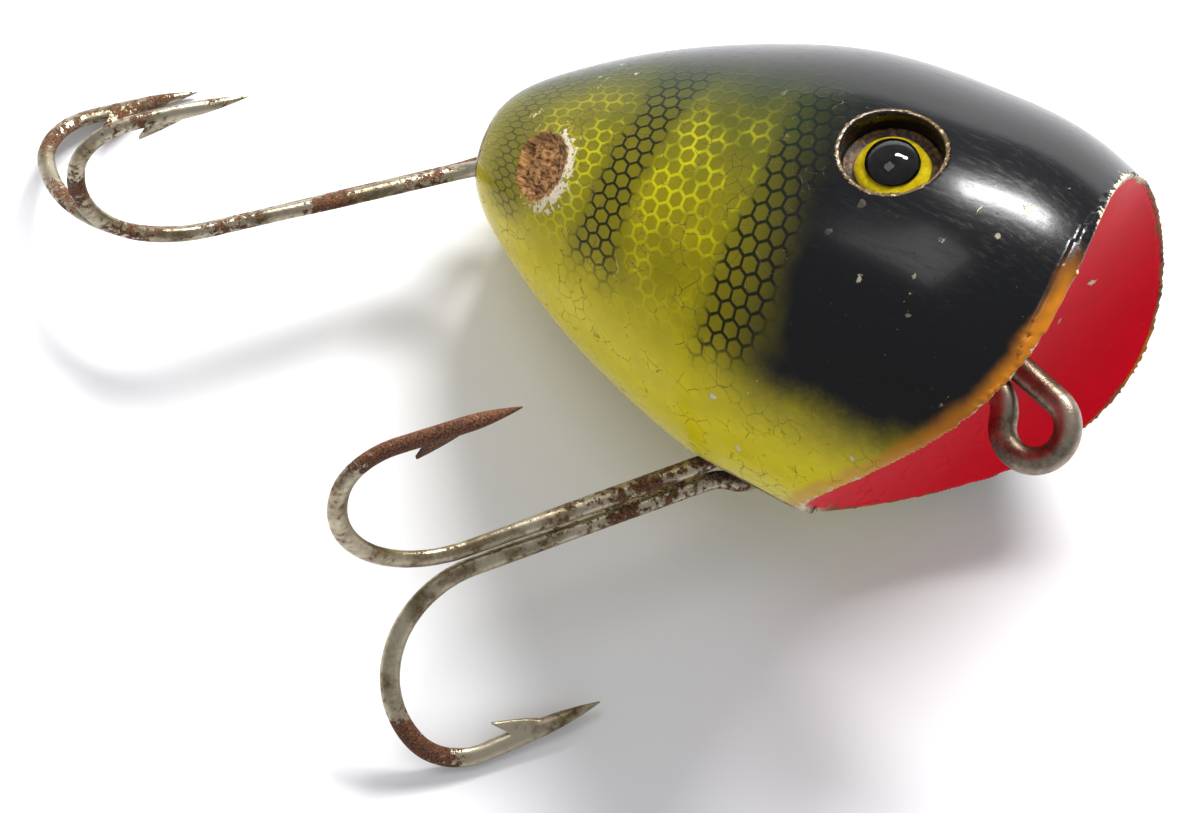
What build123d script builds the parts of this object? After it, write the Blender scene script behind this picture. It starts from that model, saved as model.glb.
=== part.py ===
from build123d import *
import os
from math import acos, atan2, cos, radians, sin, sqrt

# Vintage wooden popping plug: a turned egg-shaped body with a scooped mouth, glass eyes
# in drilled sockets, a line tie in the mouth, and two double hooks that hang on screw
# eyes sunk in metal cups at the belly and the tail. Millimetres throughout.
#
# The lure frame, in which everything is built: origin at the tail tip, +X along the
# body's axis to the nose, +Y to the fish's left, +Z to its back. The finished pieces are
# then laid down as the lure rests on a table, on its left flank and both hooks.

# --- turned body -------------------------------------------------------------
EGG_LENGTH = 47.5        # of the whole turned egg, before the mouth is scooped
EGG_RADII = (            # (share of the length, radius)
    (0.03, 3.9),
    (0.10, 6.6),
    (0.22, 9.9),
    (0.36, 12.65),
    (0.52, 14.6),
    (0.68, 14.8),
    (0.84, 13.7),
    (1.00, 9.9),
)
LIP_X = 42.5             # where the scoop leaves the back
CHIN_X = 29.9            # where the scoop leaves the belly
MOUTH_RADIUS = 15.4      # of the cutter that scoops the mouth
MOUTH_RUN = 20.0         # how far the cutter runs past the lip and the chin

# --- glass eyes --------------------------------------------------------------
EYE_X = 30.4
EYE_ANGLE = 53           # degrees from the back, towards each flank
SOCKET_RADIUS = 3.2
SOCKET_DEPTH = 2.9
EYE_RADIUS = 2.45
EYE_DOME = 1.75          # height of the glass dome
PUPIL_RADIUS = 1.2
ENAMEL = 0.18            # thickness of the iris and pupil discs
CEMENT = 0.7
STEM_RADIUS = 0.35
STEM_LENGTH = 5.0

# --- screw eyes and cups -----------------------------------------------------
SLIP = 0.02              # radial clearance of a pressed or screwed-in piece
BELLY_X = 25.6           # of the belly screw eye
BELLY_RING_Z = -11.1     # height of its ring's centre
TAIL_RING_X = 3.1        # of the tail screw eye's ring centre
HANGER_WIRE = 0.65       # wire radius of the belly and tail screw eyes
HANGER_RING = 1.7        # their rings' centreline radius
HANGER_NECK = 1.0        # bend radius from the shank into the ring
HANGER_SHANK = 9.0       # from the ring's centre to the point
CUP_WALL = 0.35
CUP_LENGTH = 12.0        # before it is trimmed flush with the skin
BELLY_CUP_RADIUS = 4.4
TAIL_CUP_RADIUS = 3.65
TIE_WIRE = 0.92          # wire radius of the line tie
TIE_RING = 2.15
TIE_NECK = 2.4
TIE_PLACE = 0.52         # share of the way from the lip to the chin
TIE_REACH = 6.6          # from the scooped face to the ring's centre
TIE_SHANK = 15.0
GIMLET = 2.0             # length of a screw eye's pointed end
TIE_CLOSED = 1.0         # how far the ring's end runs back towards the shank
HANGER_CLOSED = 0.5

# --- double hooks ------------------------------------------------------------
HOOK_EYE = 2.0           # centreline radius of a hook's eye
EYE_NECK = 2.5           # radius of the bend from the eye into each shank
LINK_GAP = 0.1           # running clearance between hook eye and screw eye

BELLY_HOOK = dict(
    wire=0.60, spread=152, shank_gap=0.8, shank=18.9, bend=7.75, bend_turn=112,
    point_bend=4.2, turn=184, point=8.2,
)
TAIL_HOOK = dict(
    wire=0.53, spread=102, shank_gap=0.62, shank=19.4, bend=8.7, bend_turn=98,
    point_bend=4.0, turn=180, point=7.3,
)
TAPER = 4.0              # length of a hook's ground point
TIP_RADIUS = 0.06
BARB_ROOT = 4.2          # from the tip to where the barb leaves the wire
BARB_HEEL = 6.2          # from the tip to where it joins the wire again
BARB_END = 7.2           # from the tip to the barb's own point
BARB_REACH = 1.65        # from the wire's axis to the barb's own point
BARB_THICKNESS = 0.5

# How each hook hangs: the screw eye's ring is turned about its own axis, the hook's eye
# has slid along the ring, and the hook is swung about the ring's wire at that point.
BELLY_TURN = -37.8
BELLY_SLIDE = 22.8
BELLY_SWING = 46.9
TAIL_TURN = 106.1
TAIL_SLIDE = 28.9
TAIL_SWING = -39.3

# --- how the lure lies -------------------------------------------------------
ROLL = -70.8             # about its own axis, onto the left flank
NOSE_UP = 18.34

X_AXIS = Vector(1, 0, 0)
Y_AXIS = Vector(0, 1, 0)
Z_AXIS = Vector(0, 0, 1)


def egg_outline():
    """The body's outline from the tail tip to the nose, as one smooth curve."""
    points = [(0, 0, 0)]
    for share, radius in EGG_RADII:
        points.append((share * EGG_LENGTH, 0, radius))
    return Spline(points, tangents=[(0, 0, 1), (1, 0, -0.8)], tangent_scalars=[1, 1])


def egg():
    """The turned blank."""
    outline = egg_outline()
    nose = Line(outline @ 1, (EGG_LENGTH, 0, 0))
    axis = Line((EGG_LENGTH, 0, 0), (0, 0, 0))
    return revolve(make_face(Wire([outline, nose, axis])), Axis.X)


def rod(start, direction, radius, length):
    """A cylinder from a point along a direction."""
    return extrude(Plane(origin=start, z_dir=direction) * Circle(radius), length)


def skin_at(x):
    """Radius and slope dr/dx of the body's outline at x."""
    outline = egg_outline()
    low = 0.0
    high = 1.0
    for _ in range(40):
        middle = (low + high) / 2
        if (outline @ middle).X < x:
            low = middle
        else:
            high = middle
    tangent = outline % low
    return (outline @ low).Z, tangent.Z / tangent.X


EYE_HEIGHT, EYE_SLOPE = skin_at(EYE_X)
LIP = Vector(LIP_X, 0, skin_at(LIP_X)[0])
CHIN = Vector(CHIN_X, 0, -skin_at(CHIN_X)[0])
FACE_DOWN = (CHIN - LIP).normalized()
FACE_OUT = Vector(-FACE_DOWN.Z, 0, FACE_DOWN.X)


def eye_frame(side):
    """Point on the skin and outward direction of an eye; side is 1 left, -1 right."""
    radial = Vector(0, side * sin(radians(EYE_ANGLE)), cos(radians(EYE_ANGLE)))
    point = Vector(EYE_X, 0, 0) + radial * EYE_HEIGHT
    outward = (radial - X_AXIS * EYE_SLOPE).normalized()
    return point, outward


def eye_pieces(side):
    """Glass dome, iris, pupil, wire stem and cement bed, in their socket."""
    point, outward = eye_frame(side)
    bed = point - outward * SOCKET_DEPTH
    back = bed + outward * CEMENT
    glass_back = back + outward * ENAMEL
    sphere_radius = (EYE_RADIUS**2 + EYE_DOME**2) / (2 * EYE_DOME)
    centre = glass_back + outward * (EYE_DOME - sphere_radius)
    dome = Pos(*centre) * Sphere(sphere_radius)
    dome = dome & rod(glass_back, outward, EYE_RADIUS, EYE_DOME + 1)
    pupil = rod(back, outward, PUPIL_RADIUS, ENAMEL)
    iris = rod(back, outward, EYE_RADIUS, ENAMEL) - pupil
    stem = rod(bed - outward * (STEM_LENGTH - CEMENT), outward, STEM_RADIUS, STEM_LENGTH)
    cement = rod(bed, outward, SOCKET_RADIUS - SLIP, CEMENT)
    cement = cement - rod(bed - outward, outward, STEM_RADIUS, CEMENT + 2)
    return dict(glass=dome, iris=iris, pupil=pupil, stem=stem, cement=cement)


def eye_socket(side):
    """Drilled socket with the stem's hole at its bottom."""
    point, outward = eye_frame(side)
    bed = point - outward * SOCKET_DEPTH
    socket = rod(bed, outward, SOCKET_RADIUS, SOCKET_DEPTH + 3)
    depth = STEM_LENGTH - CEMENT + SLIP
    return socket + rod(bed - outward * depth, outward, STEM_RADIUS + SLIP, depth + 1)


def arc_in(centre, first, second, radius, start, end):
    """Arc about centre in the plane of two unit vectors, from one angle to another."""
    def at(angle):
        return centre + first * (radius * cos(angle)) + second * (radius * sin(angle))
    return ThreePointArc(at(start), at((start + end) / 2), at(end))


def wire_solid(edges, radius):
    """A round wire along a smooth path."""
    path = Wire(edges)
    return sweep(Plane(origin=path @ 0, z_dir=path % 0) * Circle(radius), path)


def neck_drop(ring, neck):
    """From a ring's centre back to where a neck bend of that radius leaves the shank."""
    return sqrt((ring + neck) ** 2 - neck**2)


def screw_eye(centre, outward, across, wire, ring, neck, shank, closed):
    """A screw eye: gimlet point, shank, neck, and a ring whose end runs back to the shank."""
    drop = neck_drop(ring, neck)
    root = centre - outward * drop
    start = atan2(-drop, neck)
    beside = root - across * (2.02 * wire)
    end = radians(360) + atan2(-drop, -2.02 * wire) - acos(ring / (beside - centre).length)
    foot = root - outward * (shank - drop - GIMLET)
    base = Line(foot, root)
    bend = arc_in(root + across * neck, across, outward, neck, radians(180), radians(180) + start)
    loop = arc_in(centre, across, outward, ring, start, end)
    strand = Line(loop @ 1, (loop @ 1) + (beside - (loop @ 1)) * closed)
    point = Plane(origin=foot, z_dir=-outward) * Cone(
        wire, TIP_RADIUS, GIMLET, align=(Align.CENTER, Align.CENTER, Align.MIN)
    )
    return wire_solid([base, bend, loop, strand], wire) + point


def screw_hole(centre, outward, wire, shank, length):
    """The hole a screw eye is screwed into, from its point outwards."""
    return rod(centre - outward * (shank + SLIP), outward, wire + SLIP, length)


class Hanger:
    """Where a hook hangs: its screw eye's ring, and the hook's own directions.

    outward is the screw's axis out of the wood, across lies in the ring's plane, and
    tangent is the ring's wire where the hook's eye bears on it, which is the swing's axis.
    """

    def __init__(self, centre, outward, start, turn, slide, swing, hook):
        self.centre = centre
        self.outward = outward
        self.across = start.rotate(Axis((0, 0, 0), outward), turn)
        away = cos(radians(slide)) * outward - sin(radians(slide)) * self.across
        self.tangent = cos(radians(slide)) * self.across + sin(radians(slide)) * outward
        side = away.cross(self.tangent)
        self.pivot = centre + away * HANGER_RING
        self.shank = cos(radians(swing)) * away + sin(radians(swing)) * side
        self.spread = self.tangent
        self.sideways = self.spread.cross(self.shank)
        reach = HOOK_EYE - hook["wire"] - HANGER_WIRE - LINK_GAP
        self.eye = self.pivot + self.shank * reach


def hook_half(hook, eye, shank, sideways, spread, side):
    """Path of one of the two hooks, from the neck of its eye to its point."""
    half = radians(hook["spread"] / 2)
    gape = cos(half) * spread + side * sin(half) * sideways
    offset = eye + side * hook["shank_gap"] * sideways
    lift = EYE_NECK + hook["shank_gap"]
    neck = sqrt((HOOK_EYE + EYE_NECK) ** 2 - lift**2)
    start = offset + shank * neck
    turn = radians(hook["bend_turn"])
    end = radians(hook["turn"])
    bend_start = offset + shank * hook["shank"]
    first = bend_start + gape * hook["bend"]
    joint = sin(turn) * shank - cos(turn) * gape
    second = first + joint * (hook["bend"] - hook["point_bend"])
    quarter = radians(90)
    bend = arc_in(first, shank, gape, hook["bend"], -quarter, turn - quarter)
    close = arc_in(second, shank, gape, hook["point_bend"], turn - quarter, end - quarter)
    ahead = cos(end) * shank + sin(end) * gape
    inward = -sin(end) * shank + cos(end) * gape
    tip = close @ 1 + ahead * hook["point"]
    straight = Line(close @ 1, tip - ahead * TAPER)
    return dict(
        edges=[Line(start, bend_start), bend, close, straight],
        tip=tip, ahead=ahead, inward=inward,
    )


def hook_point(hook, half):
    """The ground point and the barb of one hook."""
    base = half["tip"] - half["ahead"] * TAPER
    cone = Plane(origin=base, z_dir=half["ahead"]) * Cone(
        hook["wire"], TIP_RADIUS, TAPER, align=(Align.CENTER, Align.CENTER, Align.MIN)
    )
    inward = half["inward"]
    root = half["tip"] - half["ahead"] * BARB_ROOT + inward * (hook["wire"] / 3)
    heel = half["tip"] - half["ahead"] * BARB_HEEL + inward * (hook["wire"] / 3)
    apex = half["tip"] - half["ahead"] * BARB_END + inward * BARB_REACH
    barb = make_face(Polyline(root, heel, apex, close=True))
    width = BARB_THICKNESS / 2
    barb = extrude(barb, width, dir=half["ahead"].cross(inward), both=True)
    return cone, barb


def double_hook(hook, hanger):
    """Both hooks and the eye between them, one bent wire."""
    shank = hanger.shank
    sideways = hanger.sideways
    lift = EYE_NECK + hook["shank_gap"]
    neck = sqrt((HOOK_EYE + EYE_NECK) ** 2 - lift**2)
    swing = atan2(lift, neck)
    centre = hanger.eye
    left = hook_half(hook, centre, shank, sideways, hanger.spread, 1)
    right = hook_half(hook, centre, shank, sideways, hanger.spread, -1)
    loop = arc_in(centre, shank, sideways, HOOK_EYE, swing, radians(360) - swing)
    necks = []
    for side in (1, -1):
        bend_centre = centre + shank * neck + sideways * (side * lift)
        low = radians(-90) * side
        necks.append(
            arc_in(bend_centre, shank, sideways, EYE_NECK, low, (swing - radians(180)) * side)
        )
    edges = left["edges"] + right["edges"] + necks + [loop]
    solid = wire_solid(edges, hook["wire"])
    for half in (left, right):
        for piece in hook_point(hook, half):
            solid = solid + piece
    return solid


def cup(hanger, radius):
    """Outside and inside of a metal cup sunk in the wood round a screw eye."""
    floor = hanger.centre - hanger.outward * neck_drop(HANGER_RING, HANGER_NECK)
    inside = rod(floor, hanger.outward, radius - CUP_WALL, CUP_LENGTH)
    outside = rod(floor - hanger.outward * CUP_WALL, hanger.outward, radius, CUP_LENGTH)
    return outside, inside


BELLY_HANGER = Hanger(
    Vector(BELLY_X, 0, BELLY_RING_Z), -Z_AXIS, X_AXIS, -BELLY_TURN, BELLY_SLIDE, BELLY_SWING,
    BELLY_HOOK,
)
TAIL_HANGER = Hanger(
    Vector(TAIL_RING_X, 0, 0), -X_AXIS, Y_AXIS, -TAIL_TURN, TAIL_SLIDE, TAIL_SWING, TAIL_HOOK
)


def face_point(share):
    """Point of the scooped face on the mid-plane, from the lip (0) to the chin (1)."""
    return LIP + (CHIN - LIP) * share


def mouth_cutter():
    """What the scoop takes: a drum parallel to the line from lip to chin, and all ahead."""
    centre = LIP - FACE_DOWN * MOUTH_RUN + FACE_OUT * MOUTH_RADIUS
    plane = Plane(origin=centre, x_dir=FACE_OUT, z_dir=FACE_DOWN)
    ahead = Pos(MOUTH_RADIUS, 0) * Rectangle(2 * MOUTH_RADIUS, 2 * MOUTH_RADIUS)
    return extrude(plane * (Circle(MOUTH_RADIUS) + ahead), (CHIN - LIP).length + 2 * MOUTH_RUN)


def build():
    """Every piece in the lure frame, by node name."""
    blank = egg()
    nodes = {}

    tie_centre = face_point(TIE_PLACE) + FACE_OUT * TIE_REACH
    body = blank - mouth_cutter()

    nodes["line_tie_screw_eye"] = screw_eye(
        tie_centre, FACE_OUT, FACE_DOWN, TIE_WIRE, TIE_RING, TIE_NECK, TIE_SHANK,
        TIE_CLOSED,
    )
    body = body - screw_hole(tie_centre, FACE_OUT, TIE_WIRE, TIE_SHANK, TIE_SHANK)

    for name, hanger, hook, cup_radius in (
        ("belly", BELLY_HANGER, BELLY_HOOK, BELLY_CUP_RADIUS),
        ("tail", TAIL_HANGER, TAIL_HOOK, TAIL_CUP_RADIUS),
    ):
        outside, inside = cup(hanger, cup_radius)
        hole = screw_hole(
            hanger.centre, hanger.outward, HANGER_WIRE, HANGER_SHANK, HANGER_SHANK
        )
        nodes[name + "_hook_cup"] = (outside & blank) - inside - hole
        nodes[name + "_screw_eye"] = screw_eye(
            hanger.centre, hanger.outward, hanger.across, HANGER_WIRE, HANGER_RING,
            HANGER_NECK, HANGER_SHANK, HANGER_CLOSED,
        )
        nodes[name + "_double_hook"] = double_hook(hook, hanger)
        body = body - outside - hole

    for word, side in (("left", 1), ("right", -1)):
        body = body - eye_socket(side)
        for piece, solid in eye_pieces(side).items():
            nodes[word + "_eye_" + piece] = solid

    nodes["wooden_body"] = body
    return nodes


def laid_down(nodes):
    """The location that lays the lure on the table, centred on the origin."""
    turned = Rot(0, -NOSE_UP, 0) * Rot(ROLL, 0, 0)
    box = Compound([turned * solid for solid in nodes.values()]).bounding_box()
    return Pos(-box.center().X, -box.center().Y, -box.min.Z) * turned


nodes = build()
resting = laid_down(nodes)
os.makedirs("parts", exist_ok=True)
for name, solid in nodes.items():
    export_step((resting * solid).solid(), "parts/" + name + ".step")
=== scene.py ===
from math import acos, atan2, cos, pi, radians, sin, sqrt

import bpy
import numpy as np
from mathutils import Matrix, Vector, noise


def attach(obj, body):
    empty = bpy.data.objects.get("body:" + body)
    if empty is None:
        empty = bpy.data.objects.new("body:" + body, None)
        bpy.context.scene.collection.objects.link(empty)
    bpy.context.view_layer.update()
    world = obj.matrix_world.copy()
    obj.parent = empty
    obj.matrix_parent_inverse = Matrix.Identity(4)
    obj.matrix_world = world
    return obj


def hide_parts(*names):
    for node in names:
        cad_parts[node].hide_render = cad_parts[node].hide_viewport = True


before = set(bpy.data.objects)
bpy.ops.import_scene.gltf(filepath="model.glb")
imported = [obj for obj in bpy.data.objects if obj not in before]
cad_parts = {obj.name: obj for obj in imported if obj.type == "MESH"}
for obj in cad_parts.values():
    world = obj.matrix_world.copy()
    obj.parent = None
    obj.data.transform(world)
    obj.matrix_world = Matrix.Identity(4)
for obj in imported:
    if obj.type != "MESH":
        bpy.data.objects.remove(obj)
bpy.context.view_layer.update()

# The looks of a worn wooden popping plug, lying on a table. Shapes are worked out in the
# lure frame, in millimetres: origin at the tail tip, +X along the body to the nose, +Y to
# the fish's left, +Z to its back. The last step lays them down in the row frame, in metres.

MM = 0.001
ROLL = radians(-70.8)
NOSE_UP = radians(18.34)
TAIL_TIP = Vector((-9.169, 11.542, 6.633))
X_AXIS = Vector((1, 0, 0))
Y_AXIS = Vector((0, 1, 0))
Z_AXIS = Vector((0, 0, 1))
TURNED = Matrix.Rotation(-NOSE_UP, 3, "Y") @ Matrix.Rotation(ROLL, 3, "X")
TURNED_ROWS = np.array(TURNED)

# --- body ------------------------------------------------------------------
EGG_LENGTH = 47.5
EGG_RADII = (
    (0.03, 3.9),
    (0.10, 6.6),
    (0.22, 9.9),
    (0.36, 12.65),
    (0.52, 14.6),
    (0.68, 14.8),
    (0.84, 13.7),
    (1.00, 9.9),
)
LIP_X = 42.5
CHIN_X = 29.9
MOUTH_RADIUS = 15.4
VOXEL = 0.2
GOUGE = Vector((7.4, -8.3, 0.0))
GOUGE_RADIUS = 2.3

# --- eyes ------------------------------------------------------------------
EYE_X = 30.4
EYE_ANGLE = radians(53)
SOCKET_RADIUS = 3.2
SOCKET_DEPTH = 2.9
EYE_RADIUS = 2.45
EYE_DOME = 1.75
PUPIL_RADIUS = 1.55
ENAMEL = 0.18
IRIS_HEIGHT = 0.34       # both reach a little way into the glass
PUPIL_HEIGHT = 1.25
CEMENT = 0.7
STEM_LENGTH = 5.0

# --- wires -----------------------------------------------------------------
HANGER_WIRE = 0.65
HANGER_RING = 1.7
HANGER_NECK = 1.0
HANGER_SHANK = 9.0
HANGER_CLOSED = 0.5
TIE_WIRE = 0.92
TIE_RING = 2.15
TIE_NECK = 2.4
TIE_PLACE = 0.52
TIE_REACH = 6.6
TIE_SHANK = 15.0
GIMLET = 2.0
TIE_CLOSED = 1.0
STRAND_GAP = 2.02        # between a closed ring's end and its shank, in wire radii
THREAD_SHARE = 0.72      # how much of a shank is threaded
THREAD_PITCH = 0.9
THREAD_CUT = 0.20        # depth of the thread, as a share of the wire's radius
HOOK_EYE = 2.0
EYE_NECK = 2.5
LINK_GAP = 0.1
BELLY_HOOK = dict(
    wire=0.60, spread=152, shank_gap=0.8, shank=18.9, bend=7.75, bend_turn=112,
    point_bend=4.2, turn=184, point=8.2,
)
TAIL_HOOK = dict(
    wire=0.53, spread=102, shank_gap=0.62, shank=19.4, bend=8.7, bend_turn=98,
    point_bend=4.0, turn=180, point=7.3,
)
TAPER = 4.6              # length of a hook's ground point
BARB_ROOT = 4.1          # from the tip to where the barb leaves the wire
BARB_HEEL = 6.2          # from the tip to the barb's end
BARB_BACK = 1.0          # how far the barb leans back
BARB_LIFT = 1.2          # how far it stands off the wire
FORGED = 0.24            # how much the bend is flattened
BELLY_RING = Vector((25.6, 0, -11.1))
BELLY_TURN = radians(37.8)
BELLY_SLIDE = radians(22.8)
BELLY_SWING = radians(46.9)
TAIL_RING = Vector((3.1, 0, 0))
TAIL_TURN = radians(-106.1)
TAIL_SLIDE = radians(28.9)
TAIL_SWING = radians(-39.3)

# --- paint -----------------------------------------------------------------
CELL = 1.1               # width of the net's cells
DEGREE = 0.225           # length of a degree round the flank
BARS = (                 # (middle, half width, strength)
    (5.0, 1.5, 0.7),
    (14.3, 1.9, 1.0),
    (25.2, 2.2, 1.0),
)

# --- studio: the camera in the lure frame, the floor and lamps in metres -------
LENS = 147.0
CAMERA = Vector((124.01, -299.92, 10.09))
CAMERA_RIGHT = Vector((0.8707, 0.3469, 0.3485))
CAMERA_UP = Vector((-0.3519, -0.0554, 0.9344))
WORLD_STRENGTH = 0.50
FLOOR_REACH = 1.5
LIGHTS = (               # name, way to it (right, up, back) and distance, size, watts, colour
    ("key", (0.33, 0.84, 0.43, 0.9), (0.46, 0.14), 15.0, (1.0, 1.0, 1.0)),
    ("fill", (-0.20, 0.50, 0.84, 1.2), (0.5, 0.4), 1.8, (1.0, 0.98, 1.0)),
)


def smooth(low, high, value):
    """Smooth step of numbers or arrays between two limits."""
    share = np.clip((value - low) / (high - low), 0.0, 1.0)
    return share * share * (3 - 2 * share)


def natural_spline(knots, values):
    """The natural cubic spline through values at knots, as a function of an array."""
    knots = np.array(knots, float)
    values = np.array(values, float)
    gaps = np.diff(knots)
    count = len(knots)
    rows = np.eye(count)
    right = np.zeros(count)
    for i in range(1, count - 1):
        rows[i, i - 1] = gaps[i - 1]
        rows[i, i] = 2 * (gaps[i - 1] + gaps[i])
        rows[i, i + 1] = gaps[i]
        slopes = (values[i + 1] - values[i]) / gaps[i] - (values[i] - values[i - 1]) / gaps[i - 1]
        right[i] = 6 * slopes
    second = np.linalg.solve(rows, right)

    def value_at(x):
        i = np.clip(np.searchsorted(knots, x) - 1, 0, count - 2)
        width = gaps[i]
        a = (knots[i + 1] - x) / width
        b = (x - knots[i]) / width
        bend = (a**3 - a) * second[i] + (b**3 - b) * second[i + 1]
        return a * values[i] + b * values[i + 1] + bend * width**2 / 6

    return value_at


_shares = [0.0] + [share for share, _ in EGG_RADII]
_profile = natural_spline(np.sqrt(_shares), [0.0] + [radius for _, radius in EGG_RADII])


def skin_radius(x):
    """Radius of the turned body at x."""
    return _profile(np.sqrt(np.clip(x, 0, None) / EGG_LENGTH))


LIP = Vector((LIP_X, 0, float(skin_radius(LIP_X))))
CHIN = Vector((CHIN_X, 0, -float(skin_radius(CHIN_X))))
FACE_DOWN = (CHIN - LIP).normalized()
FACE_OUT = Vector((-FACE_DOWN.z, 0, FACE_DOWN.x))
DRUM = LIP + FACE_OUT * MOUTH_RADIUS


def mouth_distance(points):
    """How far points stand outside the drum that scoops the mouth."""
    away = points - np.array(DRUM)
    along = away @ np.array(FACE_DOWN)
    away = away - along[:, None] * np.array(FACE_DOWN)
    return np.linalg.norm(away, axis=1) - MOUTH_RADIUS


def eye_frame(side):
    """Centre on the skin and outward direction of an eye; side is 1 left, -1 right."""
    step = 0.05
    slope = float(skin_radius(EYE_X + step) - skin_radius(EYE_X - step)) / (2 * step)
    radial = Vector((0, side * sin(EYE_ANGLE), cos(EYE_ANGLE)))
    centre = X_AXIS * EYE_X + radial * float(skin_radius(EYE_X))
    return centre, (radial - X_AXIS * slope).normalized()


# --- meshes ----------------------------------------------------------------
def piece(name, points, faces, body, slot, replaced, material, attributes=None):
    """A finished mesh piece from points in the lure frame."""
    row = (np.array(points) @ TURNED_ROWS.T + np.array(TAIL_TIP)) * MM
    mesh = bpy.data.meshes.new(name)
    mesh.from_pydata(row.tolist(), [], faces)
    mesh.validate()
    mesh.shade_smooth()
    store = mesh.attributes.new("lure", "FLOAT_VECTOR", "POINT")
    store.data.foreach_set("vector", np.array(points, np.float32).ravel())
    for key, values in (attributes or {}).items():
        store = mesh.attributes.new(key, "FLOAT", "POINT")
        store.data.foreach_set("value", np.array(values, np.float32))
    item = bpy.data.objects.new(name, mesh)
    bpy.context.scene.collection.objects.link(item)
    mesh.materials.append(material)
    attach(item, body)
    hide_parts(*replaced)
    return item


def lathe(profile, centre, outward, sides=72, wobble=0.0):
    """Points and faces of a profile of (radius, height) turned about outward."""
    first = outward.orthogonal().normalized()
    second = outward.cross(first)
    points = []
    faces = []
    for ring, (radius, height) in enumerate(profile):
        for i in range(sides):
            turn = 2 * pi * i / sides
            bump = 1 + wobble * noise.noise(Vector((cos(turn) * 2, sin(turn) * 2, ring * 0.4)))
            spoke = first * cos(turn) + second * sin(turn)
            points.append(centre + spoke * radius * bump + outward * height)
    for ring in range(len(profile) - 1):
        for i in range(sides):
            a = ring * sides + i
            b = ring * sides + (i + 1) % sides
            faces.append((a, b, b + sides, a + sides))
    faces.append(tuple(reversed(range(sides))))
    faces.append(tuple(range((len(profile) - 1) * sides, len(profile) * sides)))
    return points, faces


def arc(centre, first, second, radius, start, end, step=0.16):
    """Points along an arc, about step apart."""
    count = max(3, int(abs(end - start) * radius / step))
    return [
        centre + first * (radius * cos(turn)) + second * (radius * sin(turn))
        for turn in np.linspace(start, end, count)
    ]


def straight(start, end, step=0.16):
    """Points along a line, about step apart."""
    count = max(2, int((end - start).length / step))
    return [start.lerp(end, share) for share in np.linspace(0, 1, count)]


def joined(*runs):
    """Runs of points end to end, with no point twice."""
    path = []
    for run in runs:
        for point in run:
            if not path or (point - path[-1]).length > 1e-4:
                path.append(point)
    return path


def tube(path, radii, shape=None, sides=22):
    """A wire along path; shape may move a ring's offsets, given its place and directions."""
    path = [Vector(p) for p in path]
    count = len(path)
    tangents = [
        (path[min(i + 1, count - 1)] - path[max(i - 1, 0)]).normalized() for i in range(count)
    ]
    across = tangents[0].orthogonal().normalized()
    points = []
    for i, (centre, tangent) in enumerate(zip(path, tangents)):
        across = (across - tangent * across.dot(tangent)).normalized()
        other = tangent.cross(across)
        turns = np.arange(sides) * 2 * pi / sides
        ring = np.outer(np.cos(turns), across) + np.outer(np.sin(turns), other)
        offsets = ring * radii[i]
        if shape:
            offsets = shape(i, ring, offsets, np.array(tangent), turns)
        points.extend((np.array(centre) + offsets).tolist())
    faces = []
    for i in range(count - 1):
        for k in range(sides):
            a = i * sides + k
            b = i * sides + (k + 1) % sides
            faces.append((a, b, b + sides, a + sides))
    faces.append(tuple(reversed(range(sides))))
    faces.append(tuple(range((count - 1) * sides, count * sides)))
    return points, faces


# --- node arithmetic ---------------------------------------------------------
class Field:
    """A value over a material's surface, with arithmetic that makes its nodes."""

    def __init__(self, tree, socket):
        self.tree = tree
        self.socket = socket

    def node(self, operation, *values):
        made = self.tree.nodes.new("ShaderNodeMath")
        made.operation = operation
        for socket, value in zip(made.inputs, values):
            feed(self.tree, socket, value)
        return Field(self.tree, made.outputs[0])

    def __add__(self, other):
        return self.node("ADD", self, other)

    def __sub__(self, other):
        return self.node("SUBTRACT", self, other)

    def __rsub__(self, other):
        return self.node("SUBTRACT", other, self)

    def __mul__(self, other):
        return self.node("MULTIPLY", self, other)

    def __truediv__(self, other):
        return self.node("DIVIDE", self, other)

    __radd__ = __add__
    __rmul__ = __mul__

    def least(self, other):
        return self.node("MINIMUM", self, other)

    def most(self, other):
        return self.node("MAXIMUM", self, other)

    def size(self):
        return self.node("ABSOLUTE", self)

    def root(self):
        return self.node("SQRT", self)

    def modulo(self, other):
        return self.node("FLOORED_MODULO", self, other)

    def ramp(self, low, high):
        """Smooth step from 0 at low to 1 at high; high may lie below low."""
        made = self.tree.nodes.new("ShaderNodeMapRange")
        made.interpolation_type = "SMOOTHSTEP"
        low_value, high_value = (1.0, 0.0) if high < low else (0.0, 1.0)
        feed(self.tree, made.inputs["Value"], self)
        made.inputs["From Min"].default_value = min(low, high)
        made.inputs["From Max"].default_value = max(low, high)
        made.inputs["To Min"].default_value = low_value
        made.inputs["To Max"].default_value = high_value
        return Field(self.tree, made.outputs["Result"])


def feed(tree, socket, value):
    """Links a field to a socket, or sets the socket's own value."""
    if isinstance(value, Field):
        tree.links.new(value.socket, socket)
    elif isinstance(value, tuple):
        socket.default_value = (*value, 1.0) if len(value) == 3 else value
    else:
        socket.default_value = value


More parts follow.
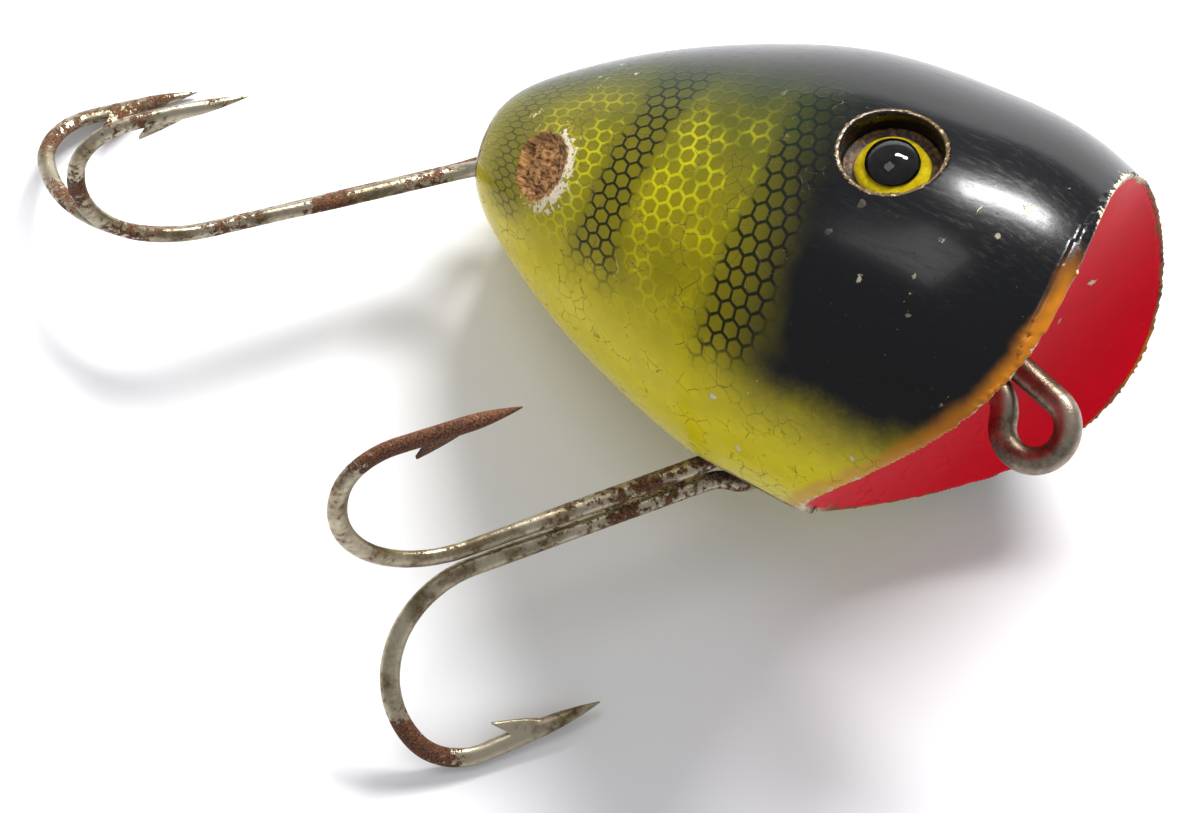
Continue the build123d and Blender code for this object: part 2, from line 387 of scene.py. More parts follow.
class Paint:
    """A material being made."""

    def __init__(self, name):
        self.material = bpy.data.materials.new(name)
        self.material.use_nodes = True
        self.tree = self.material.node_tree
        self.shader = self.tree.nodes["Principled BSDF"]

    def attribute(self, name, output="Fac"):
        made = self.tree.nodes.new("ShaderNodeAttribute")
        made.attribute_name = name
        return Field(self.tree, made.outputs[output])

    def split(self, vector):
        made = self.tree.nodes.new("ShaderNodeSeparateXYZ")
        self.tree.links.new(vector.socket, made.inputs[0])
        return [Field(self.tree, output) for output in made.outputs]

    def combine(self, x, y, z=0.0):
        made = self.tree.nodes.new("ShaderNodeCombineXYZ")
        for socket, value in zip(made.inputs, (x, y, z)):
            feed(self.tree, socket, value)
        return Field(self.tree, made.outputs[0])

    def noise(self, vector, scale, detail=3.0, roughness=0.5, distortion=0.0):
        made = self.tree.nodes.new("ShaderNodeTexNoise")
        self.tree.links.new(vector.socket, made.inputs["Vector"])
        made.inputs["Scale"].default_value = scale
        made.inputs["Detail"].default_value = detail
        made.inputs["Roughness"].default_value = roughness
        made.inputs["Distortion"].default_value = distortion
        return Field(self.tree, made.outputs["Fac"])

    def cells(self, vector, scale, feature="F1", randomness=1.0):
        made = self.tree.nodes.new("ShaderNodeTexVoronoi")
        made.feature = feature
        self.tree.links.new(vector.socket, made.inputs["Vector"])
        made.inputs["Scale"].default_value = scale
        made.inputs["Randomness"].default_value = randomness
        return Field(self.tree, made.outputs["Distance"])

    def mix(self, first, second, share):
        made = self.tree.nodes.new("ShaderNodeMix")
        made.data_type = "RGBA"
        feed(self.tree, made.inputs[0], share)
        feed(self.tree, made.inputs[6], first)
        feed(self.tree, made.inputs[7], second)
        return Field(self.tree, made.outputs[2])

    def bump(self, height, distance, strength=1.0):
        made = self.tree.nodes.new("ShaderNodeBump")
        made.inputs["Distance"].default_value = distance * MM
        made.inputs["Strength"].default_value = strength
        feed(self.tree, made.inputs["Height"], height)
        self.tree.links.new(made.outputs[0], self.shader.inputs["Normal"])

    def finish(self, **inputs):
        for key, value in inputs.items():
            feed(self.tree, self.shader.inputs[key.replace("_", " ")], value)
        return self.material


# --- body: paint -------------------------------------------------------------
def hexagon_edge(u, v):
    """Distance from the nearest edge of a honeycomb with cells one wide, 0 to 0.5."""
    tall = sqrt(3)
    options = []
    for shift in (0.0, 0.5):
        a = (u + shift).modulo(1.0) - 0.5
        b = (v + shift * tall).modulo(tall) - tall / 2
        options.append((a, b))
    (a, b), (c, d) = options
    nearer = a.node("GREATER_THAN", c * c + d * d, a * a + b * b)
    x = a * nearer + c * (1.0 - nearer)
    y = b * nearer + d * (1.0 - nearer)
    x = x.size()
    y = y.size()
    return 0.5 - x.most(x * 0.5 + y * (tall / 2))


def painted_wood():
    """Perch-like enamel: netted olive flanks, black head and back, cream belly, red mouth."""
    paint = Paint("painted_wood")
    place = paint.attribute("lure", "Vector")
    x, y, z = paint.split(place)
    depth = paint.attribute("mouth")
    rim = paint.attribute("rim")
    inside = paint.attribute("inside")
    gouge = paint.attribute("gouge")
    wear = paint.attribute("wear")
    flank = y.size().node("ARCTAN2", y.size(), z) * (180 / pi)
    coarse = paint.noise(place, 0.16, 3) - 0.5
    medium = paint.noise(place, 0.55, 4) - 0.5
    fine = paint.noise(place, 2.6, 4, 0.6) - 0.5
    grit = paint.noise(place, 9.0, 3, 0.7)

    gold = paint.mix((0.36, 0.30, 0.001), (0.66, 0.55, 0.002), flank.ramp(95, 150) + medium)
    olive = paint.mix((0.085, 0.090, 0.006), (0.20, 0.17, 0.008), medium + 0.5)
    base = paint.mix(olive, gold, (flank + coarse * 40).ramp(64, 128))
    base = paint.mix(base, (0.74, 0.64, 0.09), (flank + coarse * 24).ramp(146, 168))

    edge = hexagon_edge((x + medium * 0.25) / CELL, flank * DEGREE / CELL)
    line = (edge + fine * 0.10).ramp(0.135, 0.05)
    within = (flank + coarse * 30).ramp(26, 44) * (flank + coarse * 36).ramp(130, 108)
    bars = 0.0
    for middle, half, strength in BARS:
        apart = (x + coarse * 3.5 - middle + (flank - 80) * 0.012).size()
        bars = apart.ramp(half + 1.1, half - 0.7) * strength + bars
    between = (x + coarse * 6).ramp(3.5, 8.0) * (x + coarse * 6).ramp(29.0, 25.0)
    faded = (paint.noise(place, 0.32, 2) + bars * 0.4).ramp(0.36, 0.60)
    dark_net = line * bars.least(1.0) * within
    light_net = line * (1.0 - bars.least(1.0)) * within * between * faded * flank.ramp(42, 70)
    shade = bars.least(1.0) * within * 0.35
    base = paint.mix(base, (0.06, 0.052, 0.008), shade)
    base = paint.mix(base, (0.009, 0.010, 0.004), dark_net * 0.96)
    base = paint.mix(base, (0.50, 0.47, 0.004), light_net * 0.75)

    head = (x + coarse * 4 + medium * 1.6 - (flank - 90) * 0.02).ramp(22.4, 28.8)
    head = head * (flank + coarse * 26 - fine * 5).ramp(142, 114)
    back = (flank + coarse * 20 - x * 0.9).ramp(34, 8)
    green = (flank + coarse * 24 - x * 0.9).ramp(64, 20)
    base = paint.mix(base, (0.012, 0.026, 0.014), green * 0.85)
    black = head.most(back)
    base = paint.mix(base, (0.0022, 0.0024, 0.0028), black)
    band = (depth + medium * 0.9).ramp(1.5, 0.4) * inside.ramp(0.6, 0.3) * flank.ramp(50, 76)
    base = paint.mix(base, (0.50, 0.17, 0.006), band * 0.9)
    yellow_chin = band * flank.ramp(120, 150)
    base = paint.mix(base, (0.66, 0.44, 0.06), yellow_chin * 0.8)

    speck = (paint.cells(place, 1.1) + grit * 0.25).ramp(0.215, 0.15) * flank.ramp(46, 80)
    base = paint.mix(base, (0.045, 0.035, 0.008), speck * 0.75 * (1.0 - black))
    bent = paint.combine(x + fine * 0.5, y + fine * 0.5, z + medium * 0.4)
    crack = paint.cells(bent, 0.85, "DISTANCE_TO_EDGE").ramp(0.020, 0.006)
    crack = crack * (medium + 0.5).ramp(0.47, 0.60) * (1.0 - black)
    base = paint.mix(base, (0.07, 0.05, 0.012), crack * 0.7)
    long_crack = paint.cells(
        paint.combine(x * 1.6 + medium * 2.4, y + fine, z * 0.45 + medium * 2.0), 0.26,
        "DISTANCE_TO_EDGE",
    ).ramp(0.016, 0.006)
    long_crack = long_crack * (paint.noise(place, 0.21, 2) + fine * 0.3).ramp(0.66, 0.72)
    base = paint.mix(base, (0.60, 0.50, 0.20), long_crack * 0.8)

    red = paint.mix((0.60, 0.0, 0.010), (0.76, 0.0, 0.016), medium + 0.5)
    red = paint.mix(red, (0.34, 0.001, 0.014), (coarse + 0.5).ramp(0.56, 0.74) * 0.5)
    mouth = inside.ramp(0.4, 0.6)
    base = paint.mix(base, red, mouth)

    spots = (paint.cells(place, 0.34) + fine * 0.30 + grit * 0.05).ramp(0.125, 0.105)
    spots = spots * (wear + coarse * 1.2).ramp(0.30, 0.55)
    lip = flank.ramp(64, 22) + flank.ramp(128, 158) * 0.6
    worn_rim = (rim + fine * 1.6 + medium * 1.3 + coarse * 0.8 - lip * 0.34).ramp(0.0, -0.08)
    primer = spots.most(worn_rim)
    border = (gouge + fine * 3.6 + medium * 0.8 - (x - 7.4) * 0.2).ramp(0.22, 0.12)
    primer = primer.most(border)
    primer_tone = paint.mix((0.52, 0.40, 0.22), (0.84, 0.78, 0.64), fine + 0.5)
    far = y.ramp(0.0, 3.0) * (rim + depth.size()).ramp(4.0, 2.0)
    primer_tone = paint.mix(primer_tone, (0.26, 0.09, 0.035), far)
    base = paint.mix(base, primer_tone, primer)

    grain_place = paint.combine(x * 0.35, y * 2.2, z * 2.2)
    grain = paint.noise(grain_place, 1.6, 5, 0.65, 0.4)
    wood_tone = paint.mix((0.055, 0.018, 0.005), (0.46, 0.24, 0.09), grain.ramp(0.36, 0.66))
    wood = (gouge + fine * 0.9 + medium * 0.7).ramp(0.20, 0.05)
    wood = wood.most((rim + fine * 0.8).ramp(0.02, -0.10))
    base = paint.mix(base, wood_tone, wood)

    socket = paint.attribute("socket")
    glitter = (grit + fine).ramp(0.55, 0.8)
    pale = paint.mix((0.10, 0.06, 0.022), (0.66, 0.54, 0.28), glitter)
    ring = socket.ramp(0.02, 0.20) * socket.ramp(0.99, 0.60)
    # the socket's wall inside its rim is painted near black: painted shade in the recess round the
    # glass eye
    base = paint.mix(base, (0.012, 0.007, 0.004), socket.ramp(0.55, 0.95))
    base = paint.mix(base, pale, (ring + fine * 0.5).ramp(0.35, 0.60))

    bare = primer.most(wood)
    scuff = paint.noise(paint.combine(x * 0.4, y * 2.5, z * 2.5), 1.4, 6, 0.7)
    rough = 0.20 + scuff.ramp(0.45, 0.8) * 0.20 + bare * 0.42 + mouth * 0.16
    net = line * within * 0.3 * (1.0 - black)
    height = net - crack * 1.2 - speck * 0.6 - primer * 1.3 - wood * 1.2 + grain * wood * 1.6
    paint.bump(height + fine * 0.10 + coarse * 0.5, 0.05, 0.8)
    coat = (1.0 - bare) * black * (1.0 - mouth) * 0.10
    shine = 0.10 + black * (1.0 - mouth) * 0.14
    paint.finish(Base_Color=base, Roughness=rough, Specular_IOR_Level=shine)
    return paint.finish(Coat_Weight=coat, Coat_Roughness=0.10)


def wire_metal(name, bright, dull, rust_amount=0.5):
    """Worn plated wire: bright and tarnished patches, rust in pits, fine draw marks."""
    paint = Paint(name)
    place = paint.attribute("lure", "Vector")
    rust_place = paint.attribute("rust")
    broad = paint.noise(place, 0.35, 4)
    fine = paint.noise(place, 2.2, 5, 0.65)
    pits = paint.noise(place, 7.0, 4, 0.7)
    tone = paint.mix(bright, dull, (broad + fine * 0.5).ramp(0.60, 0.95))
    rust = (broad * 0.5 + fine * 0.9 + pits * 0.3 - 0.25 + rust_place * 0.58).ramp(
        1.02 - 0.32 * rust_amount, 1.10 - 0.32 * rust_amount
    )
    rust_tone = paint.mix((0.012, 0.006, 0.004), (0.20, 0.066, 0.018), pits.ramp(0.36, 0.62))
    rust_tone = paint.mix(rust_tone, (0.34, 0.25, 0.18), (fine + pits * 0.4).ramp(0.84, 0.92))
    base = paint.mix(tone, rust_tone, rust)
    rough = 0.30 + fine.ramp(0.4, 0.8) * 0.24 + rust * 0.42
    paint.bump(fine * 0.4 + pits * 0.35 + rust * pits * 1.6, 0.06, 0.9)
    return paint.finish(Base_Color=base, Roughness=rough, Metallic=1.0 - rust * 0.9)


def glass():
    """Clear eye glass with a few rubbed marks."""
    paint = Paint("eye_glass")
    place = paint.attribute("lure", "Vector")
    marks = paint.noise(place, 3.0, 5, 0.7)
    paint.bump(marks, 0.01, 0.3)
    paint.finish(Base_Color=(1.0, 1.0, 0.98), Roughness=marks.ramp(0.55, 0.8) * 0.08 + 0.01)
    return paint.finish(IOR=1.4, Transmission_Weight=1.0)


def enamel(name, first, second, scale):
    """Painted back of a glass eye, with the streaks of its brush."""
    paint = Paint(name)
    place = paint.attribute("lure", "Vector")
    streaks = paint.noise(place, scale, 4, 0.6, 0.6)
    paint.bump(streaks, 0.02, 0.5)
    base = paint.mix(first, second, streaks.ramp(0.3, 0.7))
    paint.finish(Specular_IOR_Level=0.0)
    return paint.finish(Base_Color=base, Roughness=0.35 + streaks * 0.2)


def amber_glue():
    """Old glue, dark amber with crumbs and dust."""
    paint = Paint("eye_cement")
    place = paint.attribute("lure", "Vector")
    crumbs = paint.noise(place, 2.4, 5, 0.7)
    dust = paint.noise(place, 8.0, 3, 0.6)
    base = paint.mix((0.012, 0.005, 0.002), (0.24, 0.10, 0.012), crumbs.ramp(0.42, 0.70))
    base = paint.mix(base, (0.50, 0.38, 0.18), dust.ramp(0.64, 0.74))
    paint.bump(crumbs + dust * 0.4, 0.12, 0.9)
    return paint.finish(Base_Color=base, Roughness=0.28 + dust * 0.4)


# --- body: shape -------------------------------------------------------------
def body_points():
    """Vertices and faces of the wooden body, even and dense, in the lure frame."""
    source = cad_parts["wooden_body"]
    fine = bpy.data.objects.new("remeshed", source.data.copy())
    fine.data.transform(Matrix.Scale(1 / MM, 4))
    bpy.context.scene.collection.objects.link(fine)
    remesh = fine.modifiers.new("remesh", "REMESH")
    remesh.mode = "VOXEL"
    remesh.voxel_size = VOXEL
    even = fine.modifiers.new("even", "SMOOTH")
    even.factor = 0.5
    even.iterations = 3
    graph = bpy.context.evaluated_depsgraph_get()
    mesh = bpy.data.meshes.new_from_object(fine.evaluated_get(graph))
    points = np.zeros(len(mesh.vertices) * 3)
    mesh.vertices.foreach_get("co", points)
    faces = [tuple(polygon.vertices) for polygon in mesh.polygons]
    bpy.data.objects.remove(fine)
    bpy.data.meshes.remove(mesh)
    return (points.reshape(-1, 3) - np.array(TAIL_TIP)) @ TURNED_ROWS, faces


def rough_field(points, scale, octaves=3):
    """Turbulent noise at points, about -1 to 1."""
    return np.array([noise.fractal(Vector(p) * scale, 1.0, 2.0, octaves) for p in points])


def eye_distance(points):
    """Distance from the axis of the eye on the same side."""
    nearest = np.full(len(points), 1e9)
    for side in (1, -1):
        centre, outward = eye_frame(side)
        away = points - np.array(centre)
        up = away @ np.array(outward)
        distance = np.linalg.norm(away - up[:, None] * np.array(outward), axis=1)
        distance = np.where(points[:, 1] * side > 0, distance, 1e9)
        nearest = np.minimum(nearest, distance)
    return nearest


def wooden_body():
    """The carved body, its skin drawn true and then chipped, gouged and worn."""
    points, faces = body_points()
    across = np.hypot(points[:, 1], points[:, 2])
    skin = skin_radius(points[:, 0])
    out = across - skin
    scoop = mouth_distance(points)
    eyes = eye_distance(points)
    on_skin = (np.abs(out) < 0.22) & (scoop > 0.35) & (eyes > SOCKET_RADIUS + 0.2)
    on_scoop = (np.abs(scoop) < 0.22) & (out < -0.35)

    gouge = (np.linalg.norm(points - np.array(GOUGE), axis=1) - GOUGE_RADIUS) / 1.2
    texture = rough_field(points, 0.9)
    rim = np.where(scoop > -0.5, np.maximum(scoop, 0) + np.maximum(-out, 0), 9.0)
    rim = np.minimum(rim, 9.0)
    depth = 0.42 * smooth(0.15, -0.45, gouge + texture * 0.18)
    depth = depth * (1 + 0.25 * texture)
    depth += 0.05 * smooth(0.6, 0.3, rim + 0.4 * texture)
    true = np.where(on_skin, skin / np.maximum(across, 1e-6), 1.0)
    points[:, 1] *= true
    points[:, 2] *= true
    shrink = np.where(out > -0.5, depth, 0.0) / np.maximum(across, 1.0)
    points[:, 1] *= 1 - shrink
    points[:, 2] *= 1 - shrink

    face_out = np.array(FACE_OUT)
    side = np.sqrt(np.maximum(MOUTH_RADIUS**2 - points[:, 1] ** 2, 1.0))
    ahead = (points - np.array(DRUM)) @ face_out
    points += np.where(on_scoop, -side - ahead, 0.0)[:, None] * face_out

    inside = smooth(0.30, 0.05, scoop) * smooth(0.0, -0.25, out)
    socket = smooth(SOCKET_RADIUS + 0.35, SOCKET_RADIUS + 0.05, eyes)
    belly = smooth(-0.75, -0.95, points[:, 2] / np.maximum(across, 1.0))
    wear = 0.35 + 0.5 * smooth(3.5, 0.5, scoop) + 0.35 * belly
    fields = dict(
        mouth=np.clip(scoop, -5, 30), rim=rim, inside=inside, gouge=gouge, wear=wear,
        socket=socket,
    )
    return piece(
        "carved_body", points, faces, "lure_body", "painted_wood", ["wooden_body"],
        painted_wood(), fields,
    )


# --- eyes: shape ---------------------------------------------------------------
def dome_profile():
    """Half outline of the glass: flat back, short wall, round dome."""
    sphere = (EYE_RADIUS**2 + EYE_DOME**2) / (2 * EYE_DOME)
    end = atan2(EYE_RADIUS, sphere - EYE_DOME)
    outline = [(0.01, 0.0), (EYE_RADIUS * 0.6, 0.0), (EYE_RADIUS - 0.06, 0.0)]
    outline.append((EYE_RADIUS, 0.05))
    for turn in np.linspace(end * 0.985, 0.004, 28):
        outline.append((sphere * sin(turn), EYE_DOME - sphere * (1 - cos(turn))))
    return outline


def eyes():
    """Both eyes: glass over painted iris and pupil, a wire stem, and a bed of glue."""
    clear = glass()
    iris = enamel("iris_enamel", (0.62, 0.42, 0.004), (0.90, 0.72, 0.02), 1.3)
    pupil = enamel("pupil_enamel", (0.002, 0.002, 0.002), (0.012, 0.010, 0.010), 2.0)
    stem = wire_metal("eye_wire", (0.35, 0.31, 0.27), (0.16, 0.11, 0.07), 0.8)
    glue = amber_glue()
    for word, side in (("left", 1), ("right", -1)):
        centre, outward = eye_frame(side)
        bed = centre - outward * SOCKET_DEPTH
        back = bed + outward * CEMENT
        front = back + outward * ENAMEL
        parts = (
            ("glass", dome_profile(), front, clear, "eye_glass", 0.0),
            ("iris", iris_profile(), back, iris, "iris_enamel", 0.004),
            ("pupil", pupil_profile(), back, pupil, "pupil_enamel", 0.012),
            ("stem", stem_profile(), bed, stem, "eye_wire", 0.02),
            ("cement", cement_profile(), bed, glue, "eye_cement", 0.03),
        )
        for part, outline, base, material, slot, wobble in parts:
            points, faces = lathe(outline, base, outward, 72, wobble)
            name = f"{word}_eye_{part}"
            extra = dict(rust=np.zeros(len(points)))
            piece(f"{name}_detail", points, faces, "lure_body", slot, [name], material, extra)


def iris_profile():
    """A ring of enamel round the pupil, fused a little way into the glass."""
    inner = PUPIL_RADIUS * 0.6
    outer = EYE_RADIUS * 0.96
    return [
        (inner, 0.02), (inner, IRIS_HEIGHT), (EYE_RADIUS * 0.8, IRIS_HEIGHT),
        (outer, IRIS_HEIGHT * 0.8), (outer, 0.02), (inner + 0.1, 0.0),
    ]


def pupil_profile():
    """A bead of black enamel, fused into the glass."""
    return [
        (0.01, 0.01), (PUPIL_RADIUS * 0.55, 0.01), (PUPIL_RADIUS * 0.58, IRIS_HEIGHT),
        (PUPIL_RADIUS * 0.97, IRIS_HEIGHT + 0.12), (PUPIL_RADIUS, PUPIL_HEIGHT * 0.7),
        (PUPIL_RADIUS * 0.94, PUPIL_HEIGHT * 0.88), (PUPIL_RADIUS * 0.7, PUPIL_HEIGHT * 0.97),
        (0.01, PUPIL_HEIGHT),
    ]


def stem_profile():
    """The wire stem, waved by its pliers marks, cut off at its foot."""
    foot = CEMENT - STEM_LENGTH
    outline = [(0.02, foot + 0.02)]
    for height in np.linspace(foot + 0.05, CEMENT - 0.08, 34):
        outline.append((0.33 + 0.015 * sin(height * 9), height))
    outline.append((0.02, CEMENT - 0.04))
    return outline


def cement_profile():
    """The glue bed: flat foot, domed skirt that creeps up the socket's wall."""
    reach = SOCKET_RADIUS - 0.05
    return [
        (0.37, 0.02), (reach - 0.1, 0.0), (reach, 0.08), (reach, CEMENT * 1.6),
        (reach - 0.18, CEMENT * 1.45), (reach - 0.45, CEMENT * 1.08),
        (EYE_RADIUS + 0.04, CEMENT * 1.02), (EYE_RADIUS * 0.9, CEMENT * 0.98),
        (0.37, CEMENT * 0.98),
    ]


# --- wires: shape ----------------------------------------------------------------
def neck_drop(ring, neck):
    """From a ring's centre back to where a neck bend of that radius leaves the shank."""
    return sqrt((ring + neck) ** 2 - neck**2)


def screw_eye(name, centre, outward, across, sizes, material, slot):
    """A screw eye with a cut thread, a gimlet point and a ring that ends beside its shank."""
    wire, ring, neck, shank, closed = sizes
    drop = neck_drop(ring, neck)
    root = centre - outward * drop
    start = atan2(-drop, neck)
    beside = root - across * (STRAND_GAP * wire)
    end = 2 * pi + atan2(-drop, -STRAND_GAP * wire) - acos(ring / (beside - centre).length)
    loop = arc(centre, across, outward, ring, start, end, 0.12)
    foot = root - outward * (shank - drop - GIMLET)
    tip = foot - outward * (GIMLET - 0.1)
    path = joined(
        straight(tip, foot, 0.09),
        straight(foot, root, 0.09),
        arc(root + across * neck, across, outward, neck, pi, pi + start, 0.12),
        loop,
        straight(loop[-1], loop[-1].lerp(beside, closed), 0.12),
    )
    along = np.cumsum([0.0] + [(b - a).length for a, b in zip(path, path[1:])])
    threaded = (shank - drop) * THREAD_SHARE
    length = along[-1]
    radii = []
    for run in along:
        point = min(1.0, 0.10 + 0.90 * run / GIMLET)
        rounded = min(1.0, 0.55 + 0.45 * smooth(0.0, 0.35, length - run))
        radii.append(wire * point * rounded * (1 + 0.012 * noise.noise(Vector((run * 1.3, 0, 4)))))

    def shape(i, ring_points, offsets, tangent, turns):
        thread = (along[i] / THREAD_PITCH - turns / (2 * pi)) % 1.0
        cut = THREAD_CUT * smooth(threaded + 0.3, threaded - 0.4, along[i])
        return offsets * (1 - cut * np.abs(2 * thread - 1))[:, None]

    points, faces = tube(path, radii, shape, 24)
    rust = np.repeat(smooth(6.0, 1.0, length - along) * 0.25 + 0.05, 24)
    return piece(name + "_threaded", points, faces, "lure_body", slot, [name], material,
                 dict(rust=rust))


class Hanger:
    """A hook's place: its screw eye's ring, and the hook's own directions at rest."""

    def __init__(self, centre, outward, start, turn, slide, swing, hook):
        self.centre = centre
        self.outward = outward
        self.across = Matrix.Rotation(turn, 3, outward) @ start
        away = cos(slide) * outward - sin(slide) * self.across
        self.spread = cos(slide) * self.across + sin(slide) * outward
        side = away.cross(self.spread)
        self.shank = cos(swing) * away + sin(swing) * side
        self.sideways = self.spread.cross(self.shank)
        reach = HOOK_EYE - hook["wire"] - HANGER_WIRE - LINK_GAP
        self.eye = centre + away * HANGER_RING + self.shank * reach


BELLY_HANGER = Hanger(
    BELLY_RING, -Z_AXIS, X_AXIS, BELLY_TURN, BELLY_SLIDE, BELLY_SWING, BELLY_HOOK
)
TAIL_HANGER = Hanger(TAIL_RING, -X_AXIS, Y_AXIS, TAIL_TURN, TAIL_SLIDE, TAIL_SWING, TAIL_HOOK)


def hook_half(hook, hanger, side):
    """One hook of a pair: its path from the eye's neck to the tip, its gape and normal."""
    half = radians(hook["spread"] / 2)
    shank = hanger.shank
    gape = cos(half) * hanger.spread + side * sin(half) * hanger.sideways
    offset = hanger.eye + side * hook["shank_gap"] * hanger.sideways
    lift = EYE_NECK + hook["shank_gap"]
    neck = neck_drop_to(lift)
    turn = radians(hook["bend_turn"])
    end = radians(hook["turn"])
    quarter = pi / 2
    bend_start = offset + shank * hook["shank"]
    first = bend_start + gape * hook["bend"]
    second = first + (sin(turn) * shank - cos(turn) * gape) * (hook["bend"] - hook["point_bend"])
    ahead = cos(end) * shank + sin(end) * gape
    bend = arc(first, shank, gape, hook["bend"], -quarter, turn - quarter)
    close = arc(second, shank, gape, hook["point_bend"], turn - quarter, end - quarter)
    tip = close[-1] + ahead * hook["point"]
    path = joined(
        straight(offset + shank * neck, bend_start), bend, close, straight(close[-1], tip, 0.08)
    )
    inward = -sin(end) * shank + cos(end) * gape
    return path, inward, shank.cross(gape).normalized()


def neck_drop_to(lift):
    """How far down the shank the two necks of a hook's eye end."""
    return sqrt((HOOK_EYE + EYE_NECK) ** 2 - lift**2)


def double_hook(name, hook, hanger, body, material, rust_of):
    """Both hooks and the eye between them, as one forged and barbed wire."""
    lift = EYE_NECK + hook["shank_gap"]
    neck = neck_drop_to(lift)
    swing = atan2(lift, neck)
    eye = hanger.eye
    necks = {}
    for side in (1, -1):
        middle = eye + hanger.shank * neck + hanger.sideways * (side * lift)
        necks[side] = arc(
            middle, hanger.shank, hanger.sideways, EYE_NECK, -side * pi / 2,
            (swing - pi) * side, 0.14,
        )
    loop = arc(eye, hanger.shank, hanger.sideways, HOOK_EYE, swing, 2 * pi - swing, 0.14)
    first, first_inward, first_normal = hook_half(hook, hanger, 1)
    second, second_inward, second_normal = hook_half(hook, hanger, -1)
    path = joined(first[::-1], necks[1], loop, necks[-1][::-1], second)
    along = np.cumsum([0.0] + [(b - a).length for a, b in zip(path, path[1:])])
    from_tip = np.minimum(along, along[-1] - along)
    side_of = np.where(along < along[-1] / 2, 1, -1)
    bend_end = hook["point"] + (hook["bend"] + hook["point_bend"]) * 2.1
    point = np.clip(from_tip / TAPER, 0, 1)
    uneven = [1 + 0.018 * noise.noise(Vector((run * 0.8, 7, side))) for run, side in
              zip(along, side_of)]
    radii = hook["wire"] * (0.07 + 0.93 * np.sin(point * pi / 2) ** 0.9) * np.array(uneven)
    forged = FORGED * smooth(2.0, 5.0, from_tip) * smooth(bend_end + 3, bend_end - 3, from_tip)
    planes = {1: (first_inward, first_normal), -1: (second_inward, second_normal)}

    def shape(i, ring, offsets, tangent, turns):
        inward, normal = (np.array(v) for v in planes[side_of[i]])
        across = (offsets @ normal)[:, None] * normal
        offsets = offsets + forged[i] * 0.45 * (offsets - across) - forged[i] * across
        share = (from_tip[i] - BARB_ROOT) / (BARB_HEEL - BARB_ROOT)
        if 0 < share <= 1:
            back = tangent * side_of[i]
            facing = smooth(0.78, 0.95, ring @ inward)[:, None]
            offsets = offsets + facing * (inward * BARB_LIFT * share + back * BARB_BACK * share**2)
        return offsets

    points, faces = tube(path, radii, shape, 26)
    rust = np.repeat(rust_of(from_tip, side_of), 26)
    return piece(name + "_forged", points, faces, body, name_slot(name), [name], material,
                 dict(rust=rust))


def name_slot(name):
    """The record's slot of a hook."""
    return name.split("_")[0] + "_hook_steel"


def belly_rust(from_tip, side):
    """Upper hook's point heavily rusted, the lower one's bend and both eyes a little."""
    upper = smooth(12.5, 8.5, from_tip) * (side < 0)
    lower = np.exp(-(((from_tip - 13.0) / 2.6) ** 2)) * 0.75 * (side > 0)
    return upper + lower + 0.25 * smooth(30, 40, from_tip) + 0.12


def tail_rust(from_tip, side):
    """Rust freckles along the tail hook's bends."""
    return 0.30 + 0.18 * np.sin(from_tip * 0.9 + side) * smooth(4, 12, from_tip)


def wires():
    """The line tie, both screw eyes and both double hooks."""
    tie_metal = wire_metal("tie_wire", (0.30, 0.25, 0.19), (0.10, 0.075, 0.05), 0.25)
    eye_metal = wire_metal("screw_eye_wire", (0.50, 0.42, 0.28), (0.16, 0.12, 0.07), 0.6)
    tie_centre = LIP.lerp(CHIN, TIE_PLACE) + FACE_OUT * TIE_REACH
    sizes = (TIE_WIRE, TIE_RING, TIE_NECK, TIE_SHANK, TIE_CLOSED)
    screw_eye(
        "line_tie_screw_eye", tie_centre, FACE_OUT, FACE_DOWN, sizes, tie_metal, "tie_wire"
    )
    sizes = (HANGER_WIRE, HANGER_RING, HANGER_NECK, HANGER_SHANK, HANGER_CLOSED)
    for word, hanger in (("belly", BELLY_HANGER), ("tail", TAIL_HANGER)):
        screw_eye(
            word + "_screw_eye", hanger.centre, hanger.outward, hanger.across, sizes,
            eye_metal, "screw_eye_wire",
        )
    belly_steel = wire_metal("belly_hook_steel", (0.46, 0.40, 0.29), (0.15, 0.11, 0.055), 0.75)
    tail_steel = wire_metal("tail_hook_steel", (0.44, 0.39, 0.29), (0.15, 0.115, 0.06), 0.68)
    double_hook(
        "belly_double_hook", BELLY_HOOK, BELLY_HANGER, "belly_hook", belly_steel, belly_rust
    )
    double_hook("tail_double_hook", TAIL_HOOK, TAIL_HANGER, "tail_hook", tail_steel, tail_rust)


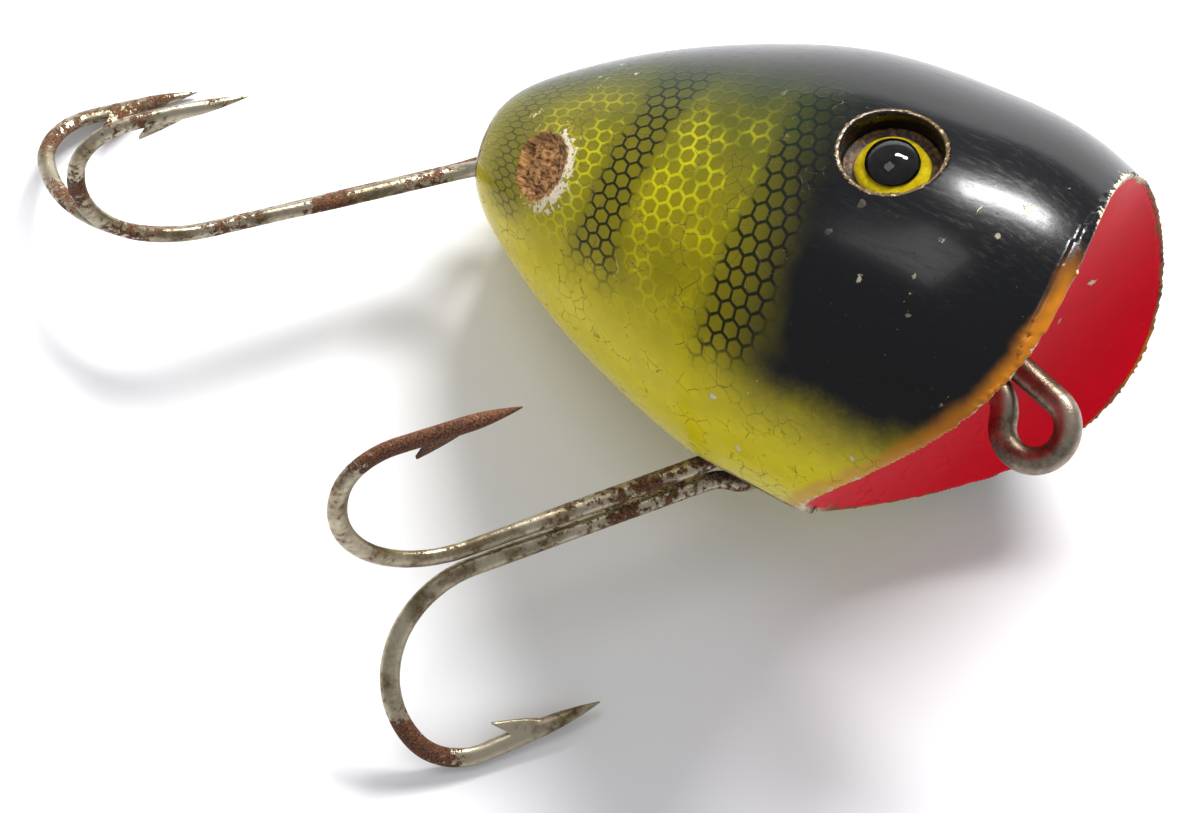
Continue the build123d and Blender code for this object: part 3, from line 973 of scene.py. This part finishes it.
def cups():
    """The CAD cups keep their shape and get tarnished plate."""
    paint = Paint("cup_metal")
    made = paint.tree.nodes.new("ShaderNodeTexCoord")
    place = Field(paint.tree, made.outputs["Object"])
    x, y, z = paint.split(place)
    place = paint.combine(x * 1000.0, y * 1000.0, z * 1000.0)
    broad = paint.noise(place, 0.5, 4)
    fine = paint.noise(place, 3.0, 5, 0.65)
    base = paint.mix((0.55, 0.48, 0.36), (0.14, 0.10, 0.06), (broad + fine * 0.6).ramp(0.5, 1.0))
    paint.bump(fine, 0.05, 0.8)
    material = paint.finish(Base_Color=base, Roughness=0.3 + fine * 0.35, Metallic=1.0)
    for name in ("belly_hook_cup", "tail_hook_cup"):
        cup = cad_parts[name]
        cup.data.materials.clear()
        cup.data.materials.append(material)


# --- stage -----------------------------------------------------------------------
def to_row(point):
    """A point of the lure frame in the row frame, in metres."""
    return (TURNED @ point + TAIL_TIP) * MM


def stage():
    """Pale floor, even pale surroundings, two soft lamps, and the camera."""
    mesh = bpy.data.meshes.new("floor")
    reach = FLOOR_REACH
    corners = [(-reach, -reach, 0), (reach, -reach, 0), (reach, reach, 0), (-reach, reach, 0)]
    mesh.from_pydata(corners, [], [(0, 1, 2, 3)])
    floor = bpy.data.objects.new("floor", mesh)
    bpy.context.scene.collection.objects.link(floor)
    floor_paint = Paint("floor")
    mesh.materials.append(floor_paint.finish(Base_Color=(0.86, 0.86, 0.87), Roughness=0.7))

    right = TURNED @ CAMERA_RIGHT
    up = TURNED @ CAMERA_UP
    right.normalize()
    up = (up - right * up.dot(right)).normalized()
    back = right.cross(up)
    data = bpy.data.cameras.new("camera")
    data.lens = LENS
    data.clip_start = 0.01
    camera = bpy.data.objects.new("camera", data)
    turn = Matrix((right, up, back)).transposed().to_4x4()
    camera.matrix_world = Matrix.Translation(to_row(CAMERA)) @ turn
    bpy.context.scene.collection.objects.link(camera)
    bpy.context.scene.camera = camera
    bpy.context.scene.view_settings.view_transform = "Standard"

    world = bpy.data.worlds.new("studio")
    bpy.context.scene.world = world
    world.use_nodes = True
    world.node_tree.nodes["Background"].inputs[0].default_value = (0.95, 0.96, 1.0, 1)
    world.node_tree.nodes["Background"].inputs[1].default_value = WORLD_STRENGTH
    for name, place, size, power, colour in LIGHTS:
        towards = (right * place[0] + up * place[1] + back * place[2]).normalized()
        light = bpy.data.lights.new(name, "AREA")
        light.shape = "RECTANGLE"
        light.size, light.size_y = size
        light.energy = power
        light.color = colour
        lamp = bpy.data.objects.new(name, light)
        lamp.location = towards * place[3]
        lamp.rotation_euler = towards.to_track_quat("Z", "Y").to_euler()
        bpy.context.scene.collection.objects.link(lamp)


wooden_body()
eyes()
wires()
cups()
stage()
